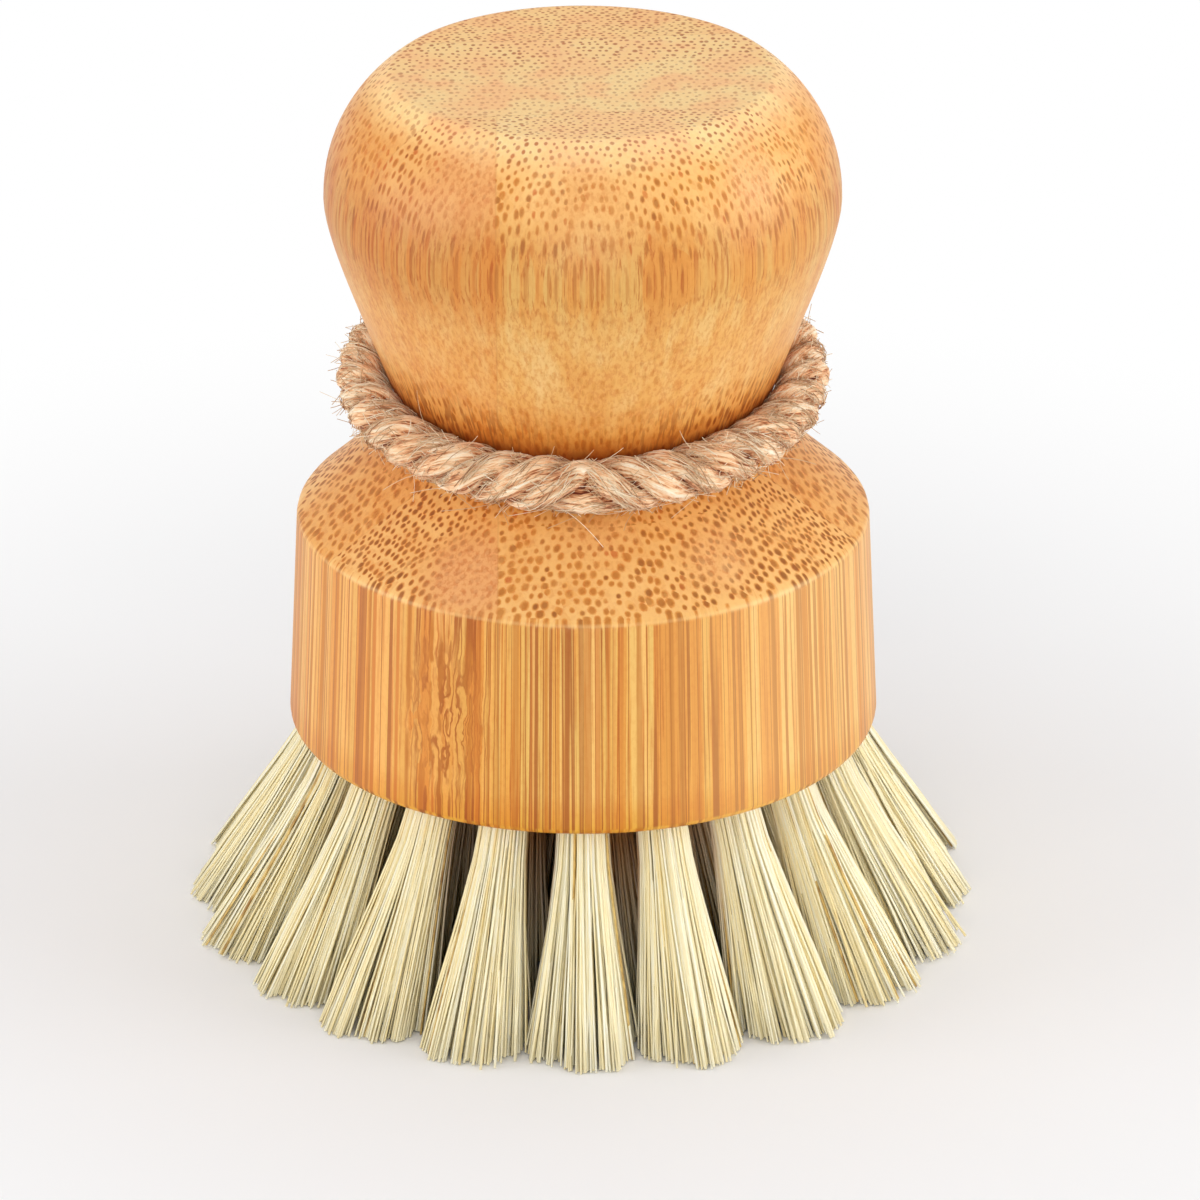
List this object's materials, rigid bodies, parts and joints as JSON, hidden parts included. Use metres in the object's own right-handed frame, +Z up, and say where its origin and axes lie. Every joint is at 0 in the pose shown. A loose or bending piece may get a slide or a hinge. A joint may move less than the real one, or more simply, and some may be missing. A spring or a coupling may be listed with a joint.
{
  "type": "dish brush",
  "caption": "Palm dish brush: a turned bamboo knob on a flared base, with splayed tufts of plant fibre set in its underside and a loop of jute twine round its neck.",
  "frame": {"origin": "on the turning axis, in the plane of the trimmed bristle tips that the brush stands on", "axes": "+Z up the turning axis towards the knob, -Y the front of the picture, +X to its right; the twine's knot is at +Y"},
  "size_m": [0.0842, 0.0839, 0.0962],
  "materials": {
    "bamboo": "satin",
    "plant_fibre": "matte",
    "jute_twine": "matte"
  },
  "bodies": {
    "brush": {"bamboo_block": "bamboo", "tuft_centre": "plant_fibre", "tuft_inner_01": "plant_fibre", "tuft_inner_02": "plant_fibre", "tuft_inner_03": "plant_fibre", "tuft_inner_04": "plant_fibre", "tuft_inner_05": "plant_fibre", "tuft_inner_06": "plant_fibre", "tuft_inner_07": "plant_fibre", "tuft_middle_01": "plant_fibre", "tuft_middle_02": "plant_fibre", "tuft_middle_03": "plant_fibre", "tuft_middle_04": "plant_fibre", "tuft_middle_05": "plant_fibre", "tuft_middle_06": "plant_fibre", "tuft_middle_07": "plant_fibre", "tuft_middle_08": "plant_fibre", "tuft_middle_09": "plant_fibre", "tuft_middle_10": "plant_fibre", "tuft_middle_11": "plant_fibre", "tuft_middle_12": "plant_fibre", "tuft_middle_13": "plant_fibre", "tuft_outer_01": "plant_fibre", "tuft_outer_02": "plant_fibre", "tuft_outer_03": "plant_fibre", "tuft_outer_04": "plant_fibre", "tuft_outer_05": "plant_fibre", "tuft_outer_06": "plant_fibre", "tuft_outer_07": "plant_fibre", "tuft_outer_08": "plant_fibre", "tuft_outer_09": "plant_fibre", "tuft_outer_10": "plant_fibre", "tuft_outer_11": "plant_fibre", "tuft_outer_12": "plant_fibre", "tuft_outer_13": "plant_fibre", "tuft_outer_14": "plant_fibre", "tuft_outer_15": "plant_fibre", "tuft_outer_16": "plant_fibre", "tuft_outer_17": "plant_fibre", "tuft_outer_18": "plant_fibre", "tuft_outer_19": "plant_fibre", "tuft_outer_20": "plant_fibre"},
    "twine": {"twine_loop": "jute_twine", "twine_knot": "jute_twine"}
  },
  "joints": [
    {"name": "twine_turn", "type": "hinge", "parent": "brush", "child": "twine", "pos_m": [0, 0, 0.0614], "axis": [0, 0, 1], "continuous": true}
  ]
}
